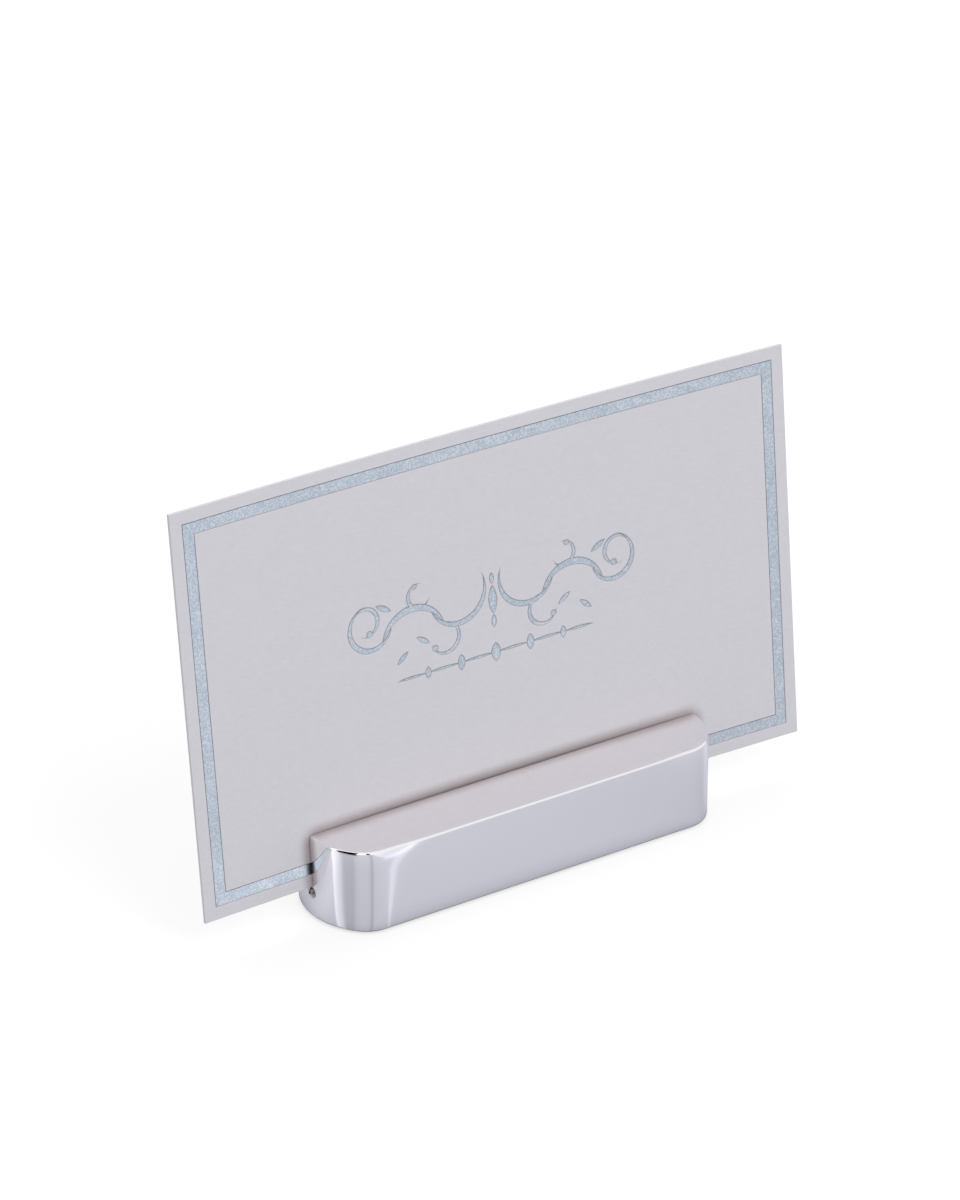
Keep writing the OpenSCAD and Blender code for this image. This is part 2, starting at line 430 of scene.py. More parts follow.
def wear(b, plan, run):
    """How far polishing draws in the top of the wall, and its change, at a length along the
    outline from the end arc. It is full where a corner arc meets the long side, and from there
    it falls both ways as a raised cosine, to one share along the side and another at the end.
    """
    way = run - (math.pi / 2 - plan.end_turn) * plan.corner_r
    reach = np.where(way < 0, END_REACH * b.worn_reach, b.worn_reach)
    low = np.where(way < 0, b.end_wear_share, b.worn_side_share)
    hump = (1 + np.cos(math.pi * np.clip(way / reach, -1, 1))) / 2
    depth = b.worn_depth * (low + (1 - low) * hump)
    return depth, np.gradient(depth, run)


def block_wall(b, c, plan, side):
    """Wall of one long side with half of each end, as a grid of rows up the wall and columns
    round the outline, with exact normals.

    The wall's distance from its arc's centre is the radius less the edge's rounding and the
    wear. Its normal is the gradient of that: outward, along the outline by the wear's change
    and up by the wear's slope, tilted by the rounding.
    """
    rows = wall_rows(b, c, side)
    columns = long_side_columns(plan, side)
    depth, change = wear(b, plan, columns.run)
    worn = rows.worn[:, None]
    inset = rows.inset[:, None] + worn * depth
    flat, outward, turn = outline_points(plan, columns, side, inset, rows.mouth_y)
    z = np.broadcast_to(rows.z[:, None, None], flat.shape[:2] + (1,))
    points = np.concatenate([flat, z], axis=2)

    along = np.stack([-columns.sign_x * np.sin(turn), side * np.cos(turn)], axis=-1)
    tilt = rows.tilt[:, None, None]
    level = (outward + (worn * change)[..., None] * along) * np.cos(tilt)
    up = np.sin(tilt) + (rows.worn_slope[:, None] * depth)[..., None] * np.cos(tilt)
    normals = np.concatenate([level, np.broadcast_to(up, level.shape[:2] + (1,))], axis=2)
    normals /= np.linalg.norm(normals, axis=2, keepdims=True)
    return rows, columns, points, normals


def slot_patches(b, rows, points, side):
    """Inside of the slot on one side: rows that span from mouth to mouth, first round the
    channel, with normals to its middle, then up the flat wall."""
    foot_y, foot_z = slot_frame(b)
    mouths = points[:, [0, -1]]
    channel = mouths[rows.channel_from : rows.slot_from + 1]
    inward = np.array([0, foot_y, foot_z]) - channel * [0, 1, 1]
    inward /= np.linalg.norm(inward, axis=2, keepdims=True)
    wall = -side * np.array([0, math.cos(b.slot_lean), -math.sin(b.slot_lean)])
    return [grid_patch(channel, inward), grid_patch(mouths[rows.slot_from :], wall)]


def rings(plan, columns, side, insets, mouth_y, heights):
    """Rows of the outline at heights, each drawn in by its own inset all round, and their
    outward directions in three dimensions."""
    insets, heights = np.array(insets), np.array(heights)
    drawn_in = np.repeat(insets[:, None], len(columns.turn), axis=1)
    mouths = np.full(len(insets), mouth_y)
    flat, outward, _ = outline_points(plan, columns, side, drawn_in, mouths)
    level = np.zeros(flat.shape[:2] + (1,))
    points = np.concatenate([flat, level + heights[:, None, None]], axis=2)
    return points, np.concatenate([outward, level], axis=2)


def block_patches(b, c):
    """The whole block: for each side its wall, its half of the slot, its part of the top face,
    the rim under it and the recess's wall, then the recess's ceiling."""
    plan = block_plan(b)
    foot_y, _ = slot_frame(b)
    insets, heights = (b.pad_margin, b.pad_margin), (b.foot, b.pad_thickness)
    patches, ceiling = [], []
    for side in (-1, 1):
        rows, columns, points, normals = block_wall(b, c, plan, side)
        recess, outward = rings(plan, columns, side, insets, foot_y, heights)
        patches.append(grid_patch(points, normals))
        patches += slot_patches(b, rows, points, side)
        patches.append(polygon_patch(points[-1], UP))
        patches.append(grid_patch(np.concatenate([points[:1], recess[:1]]), -UP))
        patches.append(grid_patch(recess, -outward))
        ceiling.append(recess[1][::side][:-1])
    patches.append(polygon_patch(np.concatenate(ceiling), -UP))
    return patches


def pad_patches(b):
    """The pad: the block's outline drawn in to its recess less a clearance, with a rounded
    lower edge, closed by two flat faces."""
    plan = block_plan(b)
    quarter = np.linspace(0, math.pi / 2, EDGE_STEPS + 1)
    heights = np.r_[b.pad_edge * (1 - np.cos(quarter)), b.pad_thickness]
    insets = b.pad_margin + b.pad_clearance + np.r_[b.pad_edge * (1 - np.sin(quarter)), 0]
    tilts = np.r_[quarter - math.pi / 2, 0][:, None, None]
    patches, foot, roof = [], [], []
    for side in (-1, 1):
        columns = long_side_columns(plan, side)
        points, outward = rings(plan, columns, side, insets, 0.0, heights)
        patches.append(grid_patch(points, outward * np.cos(tilts) + UP * np.sin(tilts)))
        foot.append(points[0][::side][:-1])
        roof.append(points[-1][::side][:-1])
    patches.append(polygon_patch(np.concatenate(foot), -UP))
    patches.append(polygon_patch(np.concatenate(roof), UP))
    return patches


# The card: places on it are a width across from its middle, a height above its foot, and a
# depth below its front face


def on_card(b, c, across, height, depth):
    """Carries card places into the part's frame.

    The front face is an arc about an upright line in front of the slot's middle plane, so a
    place lies at the arc's radius plus its depth, turned by its width over the radius. The
    whole then leans back with the slot.
    """
    r = bend_radius(c)
    foot_y, foot_z = slot_frame(b)
    front = slot_width(b, c) / 2 - b.grip_clearance - c.thickness
    x = (r + depth) * np.sin(across / r)
    y = front - r + (r + depth) * np.cos(across / r)
    z = c.foot_gap + height
    lean = b.slot_lean
    back = foot_y + y * math.cos(lean) + z * math.sin(lean)
    up = foot_z - y * math.sin(lean) + z * math.cos(lean)
    return np.stack(np.broadcast_arrays(x, back, up), axis=-1)


def smooth_step(x):
    """Rises from 0 to 1 with level ends."""
    x = np.clip(x, 0, 1)
    return x * x * (3 - 2 * x)


# The ornament in shares of its width, from its middle, for its right half, as the foil has it


def beside(centre, reach, degrees):
    """The place at a reach and a turn from a centre."""
    turn = math.radians(degrees)
    return (centre[0] + reach * math.cos(turn), centre[1] + reach * math.sin(turn))


def ornament_shares():
    """Scrolls as centre, radius, swell, half span and turn; balls as centre and radius; leaves
    as centre, length, width and turn. Each scroll touches the one before it."""
    inner_r, arch_r, outer_r, curl_r, tendril_r, sprout_r = 0.088, 0.098, 0.066, 0.040, 0.044, 0.034
    inner = (0.118, 0.062)
    arch = beside(inner, inner_r + arch_r, -32)
    outer = beside(arch, arch_r + outer_r, 27)
    curl = beside(outer, outer_r - curl_r, 62)
    tendril = beside(inner, inner_r + tendril_r, -68)
    sprout = beside(arch, arch_r + sprout_r, 100)
    scrolls = [
        (inner, inner_r, 0.015, 84, 250),
        (arch, arch_r, 0.019, 69, 88),
        (outer, outer_r, 0.014, 110, 308),
        (curl, curl_r, 0.010, 112, 150),
        (tendril, tendril_r, 0.010, 105, 220),
        (sprout, sprout_r, 0.009, 100, 330),
    ]
    balls = [
        (beside(curl, curl_r, 255), 0.0085),
        (beside(tendril, tendril_r, 330), 0.0080),
        (beside(sprout, sprout_r, 72), 0.0070),
    ]
    rule_y = -0.150
    leaves = [((0.372, 0.088), 0.052, 0.014, 30), ((0.245, -0.045), 0.046, 0.012, 35)]
    leaves += [((0.318, -0.082), 0.045, 0.012, -40)]
    leaves += [((0, y), l, w, 90) for y, l, w in ((0.015, 0.085, 0.026), (-0.052, 0.036, 0.014))]
    leaves += [((0, 0.082), 0.030, 0.012, 90)]
    leaves += [((x, rule_y), l, w, 90) for x, l, w in ((0, 0.056, 0.028), (0.12, 0.046, 0.022))]
    leaves += [((0.235, rule_y), 0.034, 0.016, 90)]
    for x, l in ((0.06, 0.085), (0.18, 0.090), (0.290, 0.080)):
        leaves.append(((x, rule_y), l, 0.006, 0))
    return scrolls, balls, leaves


def to_circle(x, y, centre, radius):
    """Distance outside a circle, and less than zero inside it."""
    return np.hypot(x - centre[0], y - centre[1]) - radius


def to_scroll(x, y, centre, radius, swell, span, turn):
    """Distance to a crescent: outside one circle or inside another that is shifted away from
    the thick side, so that the stroke closes at its half span."""
    cosine = math.cos(math.radians(span))
    opening = swell * (1 + cosine) / (1 - cosine)
    hollow = beside(centre, -(swell + opening) / 2, turn)
    outer = to_circle(x, y, centre, radius + swell / 2)
    return np.maximum(outer, -to_circle(x, y, hollow, radius + opening / 2))


def to_leaf(x, y, centre, extent, width, turn):
    """Distance to a leaf: outside either of the two equal circles whose overlap it is."""
    radius = (extent**2 + width**2) / (4 * width)
    sides = [beside(centre, s * (radius - width / 2), turn + 90) for s in (-1, 1)]
    return np.maximum(*(to_circle(x, y, side, radius) for side in sides))


def to_ornament(c, across, height):
    """Distance to the nearest stroke of the ornament, which is mirrored about its middle."""
    x = np.abs(across) / c.ornament_width
    y = (height - c.ornament_rise) / c.ornament_width
    scrolls, balls, leaves = ornament_shares()
    found = [to_scroll(x, y, *s) for s in scrolls]
    found += [to_circle(x, y, *s) for s in balls]
    found += [to_leaf(x, y, *s) for s in leaves]
    return np.min(found, axis=0) * c.ornament_width


def inside_card(c, across, height):
    """How far a place lies inside the card's nearest side."""
    return np.minimum(c.width / 2 - np.abs(across), np.minimum(height, c.height - height))


def to_frame(c, across, height):
    """Distance to the foil frame's band, from how far a place lies inside the card."""
    inside = inside_card(c, across, height)
    return np.abs(inside - c.frame_margin - c.frame_band / 2) - c.frame_band / 2


def pressed_share(c, across, height):
    """How far the paper is pressed in: 1 under the foil, falling to 0 over a shoulder."""
    foil = np.minimum(to_frame(c, across, height), to_ornament(c, across, height))
    return 1 - smooth_step(foil / c.press_shoulder)


def painted_shoulder_shade(c, heights, pressed):
    """Painted shade of the pressed paper: the pressing's share, and less where the shoulder faces
    up to the light, which is where the pressing grows with height."""
    growth = np.gradient(pressed, heights, axis=0) * c.press_shoulder
    return pressed * (1 - 0.8 * np.clip(growth, 0, 1))


def paper_depth(c, across, height, pressed):
    """Depth of the paper's front: a share of the pressing, plus a quarter round along the cut
    edges."""
    near = 1 - np.clip(inside_card(c, across, height) / c.cut_edge, 0, 1)
    return (c.press_depth + c.press_room) * pressed + c.cut_edge * (1 - np.sqrt(1 - near**2))


def graded_lines(low, high, stops, coarse, fine_low, fine_high, fine):
    """Grid lines from low to high: coarse ones, every stop, and fine ones over one stretch."""
    lines = np.linspace(low, high, round((high - low) / coarse) + 1)
    lines = lines[(lines < fine_low - fine) | (lines > fine_high + fine)]
    fine_lines = np.linspace(fine_low, fine_high, round((fine_high - fine_low) / fine) + 1)
    return np.unique(np.round(np.r_[lines, stops, fine_lines] / WELD) * WELD)


def edge_stops(c, extent):
    """Places across an extent where the paper's depth changes: the cut edges and both
    shoulders of the foil frame's groove, from either end."""
    soft = c.cut_edge * np.array([0, 0.05, 0.2, 0.5, 1])
    slope = c.press_shoulder * np.array([0, 0.25, 0.5, 0.75, 1])
    inner = c.frame_margin + c.frame_band
    near = np.r_[soft, c.frame_margin - slope, inner + slope]
    return np.r_[near, extent - near]


def card_patches(b, c):
    """The card: its front as a grid with pressed places, fine round the ornament, and its back
    and four cut edges as strips that share the front's outer points. Also the painted shade of
    the pressed shoulders at each of the front's points."""
    half = c.ornament_width * FINE_SIDE
    low = c.ornament_rise - FINE_DOWN * c.ornament_width
    high = c.ornament_rise + FINE_UP * c.ornament_width
    stops = edge_stops(c, c.width) - c.width / 2
    xs = graded_lines(-c.width / 2, c.width / 2, stops, 2 * MM, -half, half, c.fine_pitch)
    zs = graded_lines(0, c.height, edge_stops(c, c.height), 3 * MM, low, high, c.fine_pitch)
    across, height = np.meshgrid(xs, zs)
    pressed = pressed_share(c, across, height)
    front = on_card(b, c, across, height, paper_depth(c, across, height, pressed))
    back = on_card(b, c, across[[0, -1]], height[[0, -1]], c.thickness)
    lean = b.slot_lean
    forward = np.array([0, -math.cos(lean), math.sin(lean)])
    upward = np.array([0, math.sin(lean), math.cos(lean)])
    patches = [
        grid_patch(front, grid_normals(front, forward)),
        grid_patch(back, grid_normals(back, -forward)),
        grid_patch(np.stack([front[0], back[0]]), -upward),
        grid_patch(np.stack([front[-1], back[-1]]), upward),
    ]
    for column, sideways in ((0, -1.0), (-1, 1.0)):
        edge = np.concatenate([front[:, column], back[::-1, column]])
        patches.append(polygon_patch(edge, np.array([sideways, 0, 0])))
    return patches, painted_shoulder_shade(c, zs, pressed)


def band_patches(b, c):
    """The foil frame: a flat section with softened upper edges, carried round four mitred
    sides. A section point lies an inset from the card's edges and a depth below its front."""
    soft = c.foil_thickness / 2
    high, low = c.press_depth - c.foil_thickness, c.press_depth
    inner = c.frame_band
    insets = np.array([0, 0, soft, 3 * soft, inner - 3 * soft, inner - soft, inner, inner, 0])
    depths = np.array([low, high + soft, high, high, high, high, high + soft, low, low])
    insets = insets + c.frame_margin
    ways = np.linspace(0, 1, BAND_STEPS + 1)
    patches = []
    for turned in (False, True):
        for end in (-1, 1):
            long, short = (c.height, c.width) if turned else (c.width, c.height)
            run = (ways[None] - 0.5) * (long - 2 * insets[:, None])
            edge = np.broadcast_to(end * (short / 2 - insets[:, None]), run.shape)
            across, height = (edge, run) if turned else (run, edge)
            points = on_card(b, c, across, height + c.height / 2, depths[:, None])
            middle = points[:-1].mean(axis=0, keepdims=True)
            patches.append(grid_patch(points, grid_normals(points, points - middle)))
    return patches


# Materials

# Ramps of the painted contact shade over the open share, and how near other surfaces throw it:
# a warm painted shade on the paper, and nearly black on the foil, a painted shade and painted
# reflection of the dark slot
PAPER_PAINTED_SHADE = (
    (0.00, (0.290, 0.235, 0.240)),
    (0.50, (0.510, 0.445, 0.440)),
    (0.75, (0.690, 0.635, 0.625)),
    (0.86, (0.820, 0.785, 0.785)),
    (1.00, 1.0),
)
FOIL_PAINTED_SHADE = ((0.60, 0.01), (0.74, 0.04), (0.82, 0.35), (0.90, 0.85), (0.97, 1.0))
PAPER_REACH, FOIL_REACH = 1.7 * MM, 1.15 * MM
# Painted highlight: middle of the brighter flecks, near the foil's lower left corner, how far
# they reach, first in full and then to nothing, and how much brighter they are
PAINTED_HIGHLIGHT_CENTRE = (-34 * MM, 0.0, 4 * MM)
PAINTED_HIGHLIGHT_REACH, PAINTED_HIGHLIGHT_LIFT = (7 * MM, 15 * MM), 1.28
# Painted shade and painted glints of the channel: dark patches and bright specks, as a ramp
# over noise
CHANNEL_PAINTED_SHADE_AND_GLINTS = ((0.42, (0.060, 0.040, 0.035)), (0.48, (0.50, 0.42, 0.40)), (0.54, 0.95))
# Roughness of the satin slot, and how much less plating the channel has
SATIN, UNPLATED = 0.45, 0.75
# The slot's finish starts this far outside its walls, so that rounding leaves no gaps in it
SKIN = 0.004 * MM


class Pen:
    """Adds nodes to a tree and joins them. A value is a number, a colour, a node, whose first
    output is used, or an output."""

    def __init__(self, tree):
        self.tree = tree
        tree.nodes.clear()

    def add(self, kind, values=None, **choices):
        """A node of a kind, with values for its inputs and choices for its own settings."""
        node = self.tree.nodes.new("ShaderNode" + kind)
        for key, choice in choices.items():
            setattr(node, key, choice)
        for key, value in (values or {}).items():
            if isinstance(value, bpy.types.Node):
                value = value.outputs[0]
            if isinstance(value, bpy.types.NodeSocket):
                self.tree.links.new(value, node.inputs[key])
            else:
                node.inputs[key].default_value = value
        return node

    def maths(self, operation, *values):
        """A Math node with values in order."""
        return self.add("Math", dict(enumerate(values)), operation=operation)

    def root(self, first, second):
        """Square root of the sum of two squares."""
        squares = [self.maths("POWER", value, 2.0) for value in (first, second)]
        return self.maths("SQRT", self.maths("ADD", *squares))

    def spread(self, value, low, high, start=0.0, end=1.0):
        """Carries a value from one span to another, and holds it at the ends."""
        values = {"Value": value, "From Min": low, "From Max": high}
        return self.add("MapRange", {**values, "To Min": start, "To Max": end})

    def mix(self, share, first, second, blend="MIX"):
        """A colour between two others, in sockets 6 and 7, by a share in socket 0."""
        values = {0: share, 6: first, 7: second}
        return self.add("Mix", values, data_type="RGBA", blend_type=blend).outputs[2]

    def times(self, first, second):
        """Product of two colours."""
        return self.mix(1.0, first, second, "MULTIPLY")

    def noise(self, place, size, detail=2.0, roughness=0.5, stretch=(1, 1, 1)):
        """Noise whose features are about a size across, stretched by shares."""
        place = self.add("Mapping", {"Vector": place, "Scale": [s / size for s in stretch]})
        values = {"Vector": place, "Scale": 1.0, "Detail": detail, "Roughness": roughness}
        return self.add("TexNoise", values)

    def bump(self, height, strength, distance, **under):
        """A bump from heights, over the normal of another one if that is given."""
        values = {"Height": height, "Strength": strength, "Distance": distance}
        return self.add("Bump", {**values, **under})

    def ramp(self, share, stops):
        """A grey or coloured ramp from (place, value) stops."""
        node = self.add("ValToRGB", {"Fac": share})
        elements = node.color_ramp.elements
        while len(elements) < len(stops):
            elements.new(0.5)
        for element, (place, value) in zip(elements, stops):
            element.position = place
            element.color = rgba((value,) * 3 if isinstance(value, (int, float)) else value)
        return node


def rgba(colour_value):
    """A colour with full alpha."""
    return (*colour_value, 1.0)


def new_material(name):
    """An empty node material and its pen, with Object coordinates."""
    material = bpy.data.materials.new(name)
    material.use_nodes = True
    pen = Pen(material.node_tree)
    return material, pen, pen.add("TexCoord").outputs["Object"]


def finished(material, pen, values):
    """The material, closed with one principled shader."""
    pen.add("OutputMaterial", {"Surface": pen.add("BsdfPrincipled", values)})
    return material


def inside_slot(pen, place, b, c):
    """Two shares: 1 on the slot's walls, which lie within half its width of its middle plane,
    and 1 in its channel, which lies within the channel's radius of its middle."""
    foot_y, foot_z = slot_frame(b)
    part = pen.add("SeparateXYZ", {"Vector": place})
    y = pen.maths("SUBTRACT", part.outputs["Y"], foot_y)
    z = pen.maths("SUBTRACT", part.outputs["Z"], foot_z)
    off = pen.maths("ABSOLUTE", pen.maths("MULTIPLY_ADD", z, -math.tan(b.slot_lean), y))
    near = pen.maths("LESS_THAN", off, slot_width(b, c) / 2 / math.cos(b.slot_lean) + SKIN)
    wall = pen.maths("MULTIPLY", near, pen.maths("GREATER_THAN", z, 0.0))
    channel = pen.maths("LESS_THAN", pen.root(y, z), b.channel_diameter / 2 + SKIN)
    return wall, channel


def metal_material(f, b, c):
    """Mirror-polished nickel: the mark of the polishing wheel is a faint long-grained bump and
    a slightly uneven sheen. The slot is as the cutter left it, with a satin finish. Its channel
    is less metallic, as the plating hardly reaches into it, and its colour is painted shade,
    dark with painted bright glints."""
    material, pen, place = new_material("polished_nickel")
    grain = pen.noise(place, 0.9 * MM, detail=3.0, stretch=(0.08, 1, 1))
    waves = pen.noise(place, 9 * MM, detail=1.0)
    haze = pen.noise(place, 4 * MM, detail=4.0, stretch=(0.4, 1, 1))
    wall, channel = inside_slot(pen, place, b, c)
    satin = pen.maths("MULTIPLY", pen.maths("MAXIMUM", wall, channel), SATIN)
    # Painted shade and painted glints in the channel's colour
    painted_channel = pen.ramp(pen.noise(place, 0.35 * MM), CHANNEL_PAINTED_SHADE_AND_GLINTS)
    fine = pen.bump(grain, 0.012, 0.1 * MM)
    values = {
        "Base Color": pen.mix(channel, rgba(f.metal), painted_channel),
        "Metallic": pen.maths("MULTIPLY_ADD", channel, -UNPLATED, 1.0),
        "Roughness": pen.maths("MAXIMUM", pen.spread(haze, 0.0, 1.0, 0.012, 0.05), satin),
        "Normal": pen.bump(waves, 0.02, 0.5 * MM, Normal=fine),
    }
    return finished(material, pen, values)


def painted_contact_shade(pen, plain, stops, reach):
    """Painted contact shade: a colour that is multiplied by a ramp of its open share, which falls
    where other metal or paper stands within reach, as in the slot's mouth."""
    near = pen.add("AmbientOcclusion", {"Distance": reach}, samples=12)
    return pen.times(plain, pen.ramp(near.outputs["AO"], stops))


def paper_material(f):
    """Smooth heavy card: fine fibres in its colour and a soft fibrous bump. Painted shade darkens
    the pressed shoulders that face away from the light, which outlines the foil, and painted
    contact shade darkens the paper in the slot's mouth."""
    material, pen, place = new_material("card_paper")
    fibres = pen.noise(place, 0.30 * MM, detail=4.0, roughness=0.6, stretch=(0.3, 1, 1))
    clouds = pen.noise(place, 6 * MM, detail=3.0)
    tooth = pen.noise(place, 0.09 * MM, detail=3.0)
    soft = pen.spread(clouds, 0.0, 1.0, 0.35)
    share = pen.maths("MULTIPLY", pen.spread(fibres, 0.35, 0.8), soft)
    plain = pen.mix(share, rgba(f.paper), rgba(f.paper_fibre))
    # The pressed attribute holds painted shade for the shoulders that face away from the light
    pressed = pen.add("Attribute", attribute_name="pressed").outputs["Fac"]
    plain = pen.mix(pen.spread(pressed, 0.0, 0.6, 0.0, 0.8), plain, rgba(f.paper_painted_shade))
    values = {
        "Base Color": painted_contact_shade(pen, plain, PAPER_PAINTED_SHADE, PAPER_REACH),
        "Roughness": 0.75,
        "Specular IOR Level": 0.3,
        "Normal": pen.bump(pen.maths("ADD", tooth, fibres), 0.18, 0.02 * MM),
    }
    return finished(material, pen, values)


def foil_material(f):
    """Pressed metal foil: the paper's tooth shows through as fine painted glints and dull flecks,
    in its colour, its sheen and its bump. A painted highlight makes them brighter at the lower
    left corner, and painted contact shade darkens the foil in the slot's mouth."""
    material, pen, place = new_material("pale_blue_foil")
    flecks = pen.noise(place, 0.27 * MM, detail=2.0, roughness=0.6)
    clouds = pen.noise(place, 3.5 * MM, detail=2.0)
    bright = pen.maths("MULTIPLY", pen.spread(flecks, 0.42, 0.66), 0.75)
    share = pen.maths("MULTIPLY_ADD", pen.spread(clouds, 0.3, 0.7), 0.25, bright)
    # Painted highlight, brighter towards the foil's lower left corner
    away = pen.add("VectorMath", {0: place, 1: PAINTED_HIGHLIGHT_CENTRE}, operation="DISTANCE")
    painted_highlight = pen.spread(away.outputs["Value"], *PAINTED_HIGHLIGHT_REACH, PAINTED_HIGHLIGHT_LIFT, 1.0)
    plain = pen.times(pen.mix(share, rgba(f.foil), rgba(f.foil_glint)), painted_highlight)
    values = {
        "Base Color": painted_contact_shade(pen, plain, FOIL_PAINTED_SHADE, FOIL_REACH),
        "Metallic": 0.5,
        "Roughness": pen.spread(share, 0.0, 1.0, 0.30, 0.45),
        "Normal": pen.bump(flecks, 0.5, 0.05 * MM),
    }
    return finished(material, pen, values)


def felt_material(f):
    """Dense dark felt: short crossing fibres in its colour and its bump."""
    material, pen, place = new_material("pad_felt")
    first = pen.noise(place, 0.16 * MM, detail=4.0, stretch=(1, 0.3, 1))
    second = pen.noise(place, 0.16 * MM, detail=4.0, stretch=(0.3, 1, 1))
    fibres = pen.maths("MAXIMUM", first, second)
    values = {
        "Base Color": pen.mix(pen.spread(fibres, 0.45, 0.75), rgba(f.felt), rgba(f.felt_fibre)),
        "Roughness": 0.95,
        "Sheen Weight": 0.25,
        "Normal": pen.bump(fibres, 0.8, 0.08 * MM),
    }
    return finished(material, pen, values)


# Painted light and shade on the floor, which only the metal mirrors: levels as shares of its
# plain level, by the turn in degrees about a corner of the block: sharp streaks at one pair of
# opposite corners and soft ones at the other, then how much the sharp corners' floor darkens
# further out, a painted dark patch
SHARP_STREAKS = (
    (-180, 1.0), (-60, 1.03), (-20, 1.06), (-13.5, 1.07), (-11.5, (1.60, 1.57, 1.50)),
    (-8, (1.52, 1.49, 1.43)), (-4, 1.33), (0, 1.20), (4, 0.96), (8, 0.81), (22, 0.78),
    (29, 0.93), (45, 0.96), (66, 0.94), (72, 0.88), (76, 0.74), (80, 0.77), (86, 0.95),
    (104, 0.99), (121, 1.01), (122.6, 1.08), (123.6, 1.30), (124.8, 1.30), (126.2, 1.04),
    (130, 1.0), (180, 1.0),
)
SOFT_STREAKS = (
    (-180, 1.0), (-40, 1.03), (-10, 1.04), (-2, 1.12), (4, 1.08), (9, 0.98), (30, 0.90),
    (60, 0.92), (90, 0.95), (125, 0.98), (155, 1.0), (180, 1.0),
)
FAR_PAINTED_DARK = ((-180, 0.0), (-1, 0.0), (1, 1.0), (30, 1.0), (33, 0.0), (180, 0.0))
# Painted glow of the far floor over how far a place lies sideways and forwards or back from the
# middle, and the floor's painted shade over the distance from the block's foot, all in millimetres
GLOW_ACROSS = ((0, 0.25), (4, 0.25), (7, 0.23), (9, 0.12), (12, 0.05), (16, 0.0))
GLOW_ALONG = ((0, 0.0), (26, 0.0), (28, 0.15), (33, 1.0), (70, 1.0), (140, 1.6))
FOOT_PAINTED_SHADE = ((0, 0.55), (0.5, 0.74), (1, 0.85), (1.6, 0.92), (2.7, 0.965), (5, 1.0))
# The sharp streaks bend by some degrees over a span of reach, and over a span of turns
STREAK_BEND, BEND_REACH, BEND_TURNS = 4.2, (26 * MM, 38 * MM), (79.2, 108)
# The painted dark patch sets in over a span of reach, and the painted glow widens from a
# distance forwards or back, by a share of what is past it
DARK_REACH, GLOW_WIDENS, GLOW_SPREAD = (59 * MM, 63 * MM), 50 * MM, 0.5
# The front's streaks turn into the back's over this span of Y
BACK_SPAN = (6 * MM, 14 * MM)
# Where the camera sees the floor: its faint grey, which takes the shadow, and its own light
FLOOR_FAINT, FLOOR_LIGHT = 0.30, 0.66
WHITE = (1.0, 1.0, 1.0, 1.0)


def turn_share(degrees):
    """Carries a turn of -180 to 180 degrees to 0 to 1."""
    return 0.5 + degrees / 360


def turn_ramp(pen, share, stops):
    """A ramp over a turn's share, from stops whose places are in degrees."""
    return pen.ramp(share, [(turn_share(degrees), value) for degrees, value in stops])


def span_ramp(pen, value, stops):
    """A ramp over a length, from stops whose places are in millimetres."""
    span = stops[-1][0]
    places = [(place / span, level) for place, level in stops]
    return pen.ramp(pen.maths("DIVIDE", value, span * MM), places)


def foot_distance(pen, x, y, plan):
    """How far a place lies outside the block's outline: past its long sides, or twice as far as
    past the wide arcs of its ends, whose foot throws less shade, whichever is more."""
    past_x = pen.maths("MAXIMUM", pen.maths("SUBTRACT", x, plan.end_x), 0.0)
    past_end = pen.maths("SUBTRACT", pen.root(past_x, y), plan.end_r)
    past_end = pen.maths("MULTIPLY", past_end, 2.0)
    return pen.maths("MAXIMUM", past_end, pen.maths("SUBTRACT", y, plan.half_depth))


